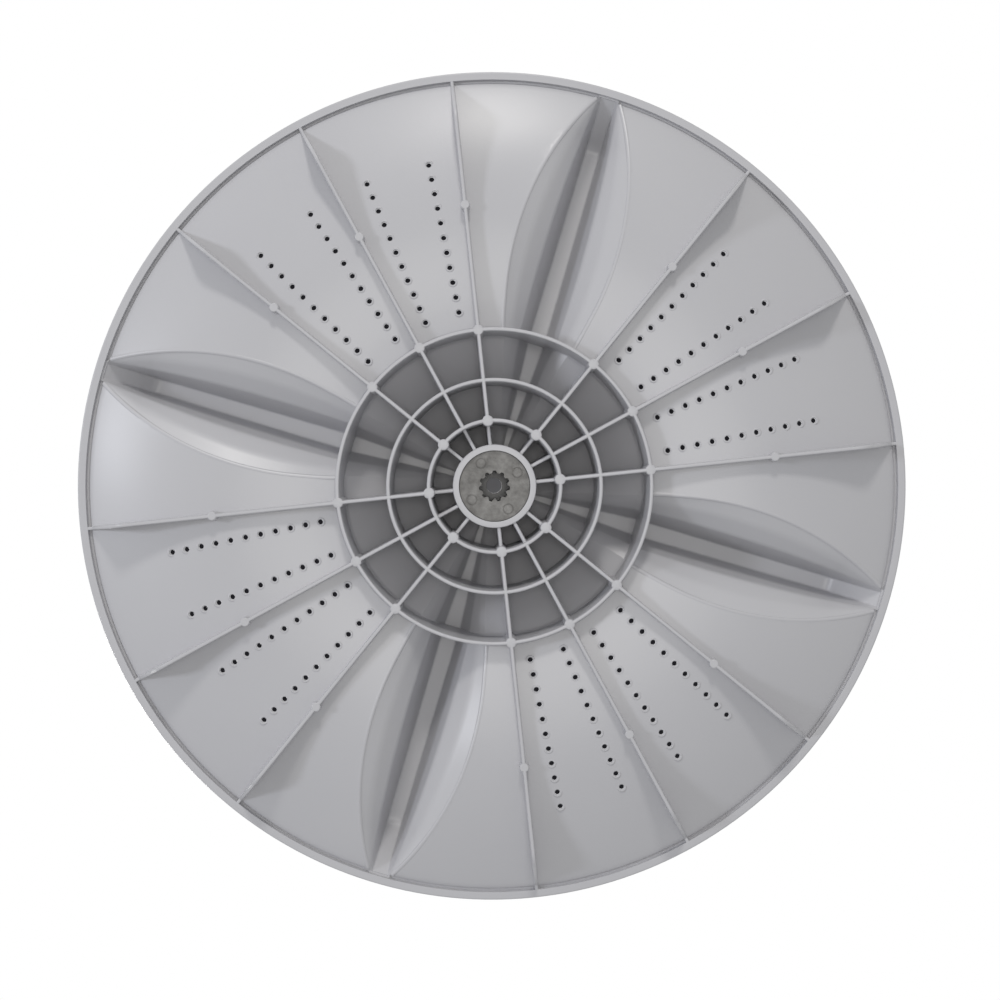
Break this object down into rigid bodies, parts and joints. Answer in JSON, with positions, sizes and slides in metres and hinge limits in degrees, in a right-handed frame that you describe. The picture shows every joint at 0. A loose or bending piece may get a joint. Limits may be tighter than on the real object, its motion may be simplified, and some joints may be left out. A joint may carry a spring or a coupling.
{
  "type": "washing machine pulsator",
  "caption": "Round moulded pulsator disc for a top-loading washer, with hollow fin-like vanes, radial ribs, rings, water holes and a splined metal drive insert in its hub.",
  "frame": {"origin": "on the drive axis, in the plane of the ribs' lower edges, which the loose part rests on", "axes": "+Z along the drive axis from the ribbed underside to the vanes, as it stands in the machine; the vanes lie along X and Y"},
  "size_m": [0.35, 0.35, 0.0402],
  "materials": {
    "pulsator_disc": "light cool grey polypropylene, satin to semi-gloss as moulded",
    "splined_insert": "matte warm grey die casting"
  },
  "bodies": {
    "root": {"pulsator_disc": "pulsator_disc", "splined_insert": "splined_insert"}
  },
  "joints": []
}
